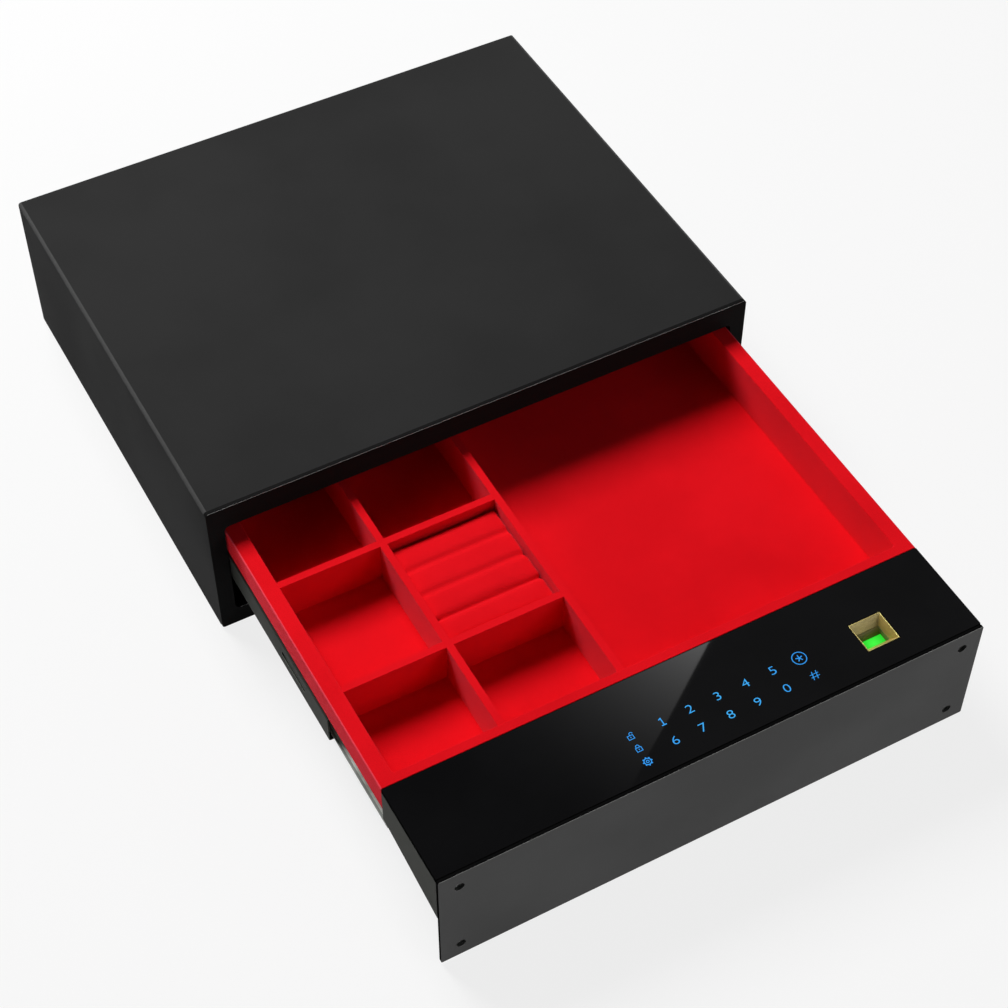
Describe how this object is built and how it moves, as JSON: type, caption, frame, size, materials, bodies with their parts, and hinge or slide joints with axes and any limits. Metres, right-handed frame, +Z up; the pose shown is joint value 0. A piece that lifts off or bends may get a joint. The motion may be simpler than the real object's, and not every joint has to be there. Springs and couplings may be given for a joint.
{
  "type": "under desk drawer safe",
  "caption": "Flat steel drawer safe with a folded casing, a lined drawer on ball slides, a touch keypad and fingerprint head, and motor driven side bolts.",
  "frame": {"origin": "centre of the casing's underside", "axes": "+X to the right seen from the front, +Y from the front to the back, +Z up; the drawer opens towards -Y"},
  "size_m": [0.4, 0.62, 0.115],
  "materials": {
    "black_powder_coat": "fine matt black powder coat on folded steel",
    "black_slide_steel": "black passivated slide steel with a faint oil sheen",
    "bright_zinc": "bright zinc plated steel",
    "red_flock": "short red velvet flock",
    "black_glass": "polished tempered glass, printed black behind",
    "gold_plating": "polished gold coloured plating",
    "lit_sensor": "clear optical window lit green from below",
    "black_plastic": "moulded black ABS",
    "board_laminate": "green circuit board laminate",
    "cell_jacket": "printed battery jacket, without print",
    "black_rubber": "black rubber"
  },
  "bodies": {
    "casing": {"casing_shell": "black_powder_coat", "casing_floor": "black_powder_coat", "casing_back": "black_powder_coat", "front_frame": "black_powder_coat", "rear_bumper_left": "black_rubber", "rear_bumper_right": "black_rubber", "slide_spacer_left": "black_powder_coat", "slide_spacer_right": "black_powder_coat", "slide_outer_left": "black_slide_steel", "slide_outer_right": "black_slide_steel", "slide_outer_screw_left_1": "bright_zinc", "slide_outer_screw_left_2": "bright_zinc", "slide_outer_screw_right_1": "bright_zinc", "slide_outer_screw_right_2": "bright_zinc"},
    "drawer": {"drawer_pan": "black_powder_coat", "velvet_tray": "red_flock", "organizer_insert": "red_flock", "ring_cushion": "red_flock", "slide_inner_left": "bright_zinc", "slide_inner_right": "bright_zinc", "slide_inner_screw_left_1": "bright_zinc", "slide_inner_screw_left_2": "bright_zinc", "slide_inner_screw_right_1": "bright_zinc", "slide_inner_screw_right_2": "bright_zinc", "head_housing": "black_powder_coat", "front_plate": "black_powder_coat", "plate_nut_lower_left": "bright_zinc", "plate_nut_upper_left": "bright_zinc", "plate_nut_lower_right": "bright_zinc", "plate_nut_upper_right": "bright_zinc", "glass_panel": "black_glass", "fingerprint_bezel": "gold_plating", "sensor_housing": "black_plastic", "fingerprint_sensor": "lit_sensor", "keypad_board": "board_laminate", "main_board": "board_laminate", "battery_box": "black_plastic", "battery_1": "cell_jacket", "battery_2": "cell_jacket", "battery_3": "cell_jacket", "battery_4": "cell_jacket", "lock_cradle": "bright_zinc", "lock_screw_1": "bright_zinc", "lock_screw_2": "bright_zinc", "lock_motor": "black_slide_steel", "bolt_guide_left": "bright_zinc", "bolt_guide_right": "bright_zinc", "motor_lead": "black_rubber"},
    "middle_left": {"slide_middle_left": "black_slide_steel"},
    "middle_right": {"slide_middle_right": "black_slide_steel"},
    "outer_balls_left": {"ball_retainer_outer_left": "bright_zinc"},
    "outer_balls_right": {"ball_retainer_outer_right": "bright_zinc"},
    "inner_balls_left": {"ball_retainer_inner_left": "bright_zinc"},
    "inner_balls_right": {"ball_retainer_inner_right": "bright_zinc"},
    "battery_door": {"battery_cover": "black_plastic"},
    "pinion": {"lock_pinion": "bright_zinc"},
    "left_bolt": {"bolt_left": "bright_zinc"},
    "right_bolt": {"bolt_right": "bright_zinc"}
  },
  "joints": [
    {"name": "drawer_slide", "type": "slide", "parent": "casing", "child": "drawer", "axis": [0, -1, 0], "range_m": [-0.218, 0.075]},
    {"name": "middle_left_slide", "type": "slide", "parent": "casing", "child": "middle_left", "axis": [0, -1, 0], "range_m": [-0.1526, 0.0525]},
    {"name": "middle_right_slide", "type": "slide", "parent": "casing", "child": "middle_right", "axis": [0, -1, 0], "range_m": [-0.1526, 0.0525]},
    {"name": "outer_balls_left_slide", "type": "slide", "parent": "casing", "child": "outer_balls_left", "axis": [0, -1, 0], "range_m": [-0.0763, 0.02625]},
    {"name": "outer_balls_right_slide", "type": "slide", "parent": "casing", "child": "outer_balls_right", "axis": [0, -1, 0], "range_m": [-0.0763, 0.02625]},
    {"name": "inner_balls_left_slide", "type": "slide", "parent": "casing", "child": "inner_balls_left", "axis": [0, -1, 0], "range_m": [-0.1853, 0.06375]},
    {"name": "inner_balls_right_slide", "type": "slide", "parent": "casing", "child": "inner_balls_right", "axis": [0, -1, 0], "range_m": [-0.1853, 0.06375]},
    {"name": "battery_cover_hinge", "type": "hinge", "parent": "drawer", "child": "battery_door", "pos_m": [-0.14225, -0.38923, 0.06076], "axis": [1, 0, 0], "range_deg": [0, 80]},
    {"name": "lock_turn", "type": "hinge", "parent": "drawer", "child": "pinion", "pos_m": [0, -0.3565, 0.0375], "axis": [0, 0, 1], "range_deg": [0, 96]},
    {"name": "bolt_left_slide", "type": "slide", "parent": "drawer", "child": "left_bolt", "axis": [-1, 0, 0], "range_m": [0, 0.015]},
    {"name": "bolt_right_slide", "type": "slide", "parent": "drawer", "child": "right_bolt", "axis": [1, 0, 0], "range_m": [0, 0.015]}
  ],
  "couplings": [
    {"joint": "middle_left_slide", "follows": "drawer_slide", "ratio": 0.7},
    {"joint": "middle_right_slide", "follows": "drawer_slide", "ratio": 0.7},
    {"joint": "outer_balls_left_slide", "follows": "drawer_slide", "ratio": 0.35},
    {"joint": "outer_balls_right_slide", "follows": "drawer_slide", "ratio": 0.35},
    {"joint": "inner_balls_left_slide", "follows": "drawer_slide", "ratio": 0.85},
    {"joint": "inner_balls_right_slide", "follows": "drawer_slide", "ratio": 0.85},
    {"joint": "lock_turn", "follows": "bolt_left_slide", "rad_per_m": 111.11},
    {"joint": "bolt_right_slide", "follows": "bolt_left_slide", "ratio": 1}
  ]
}
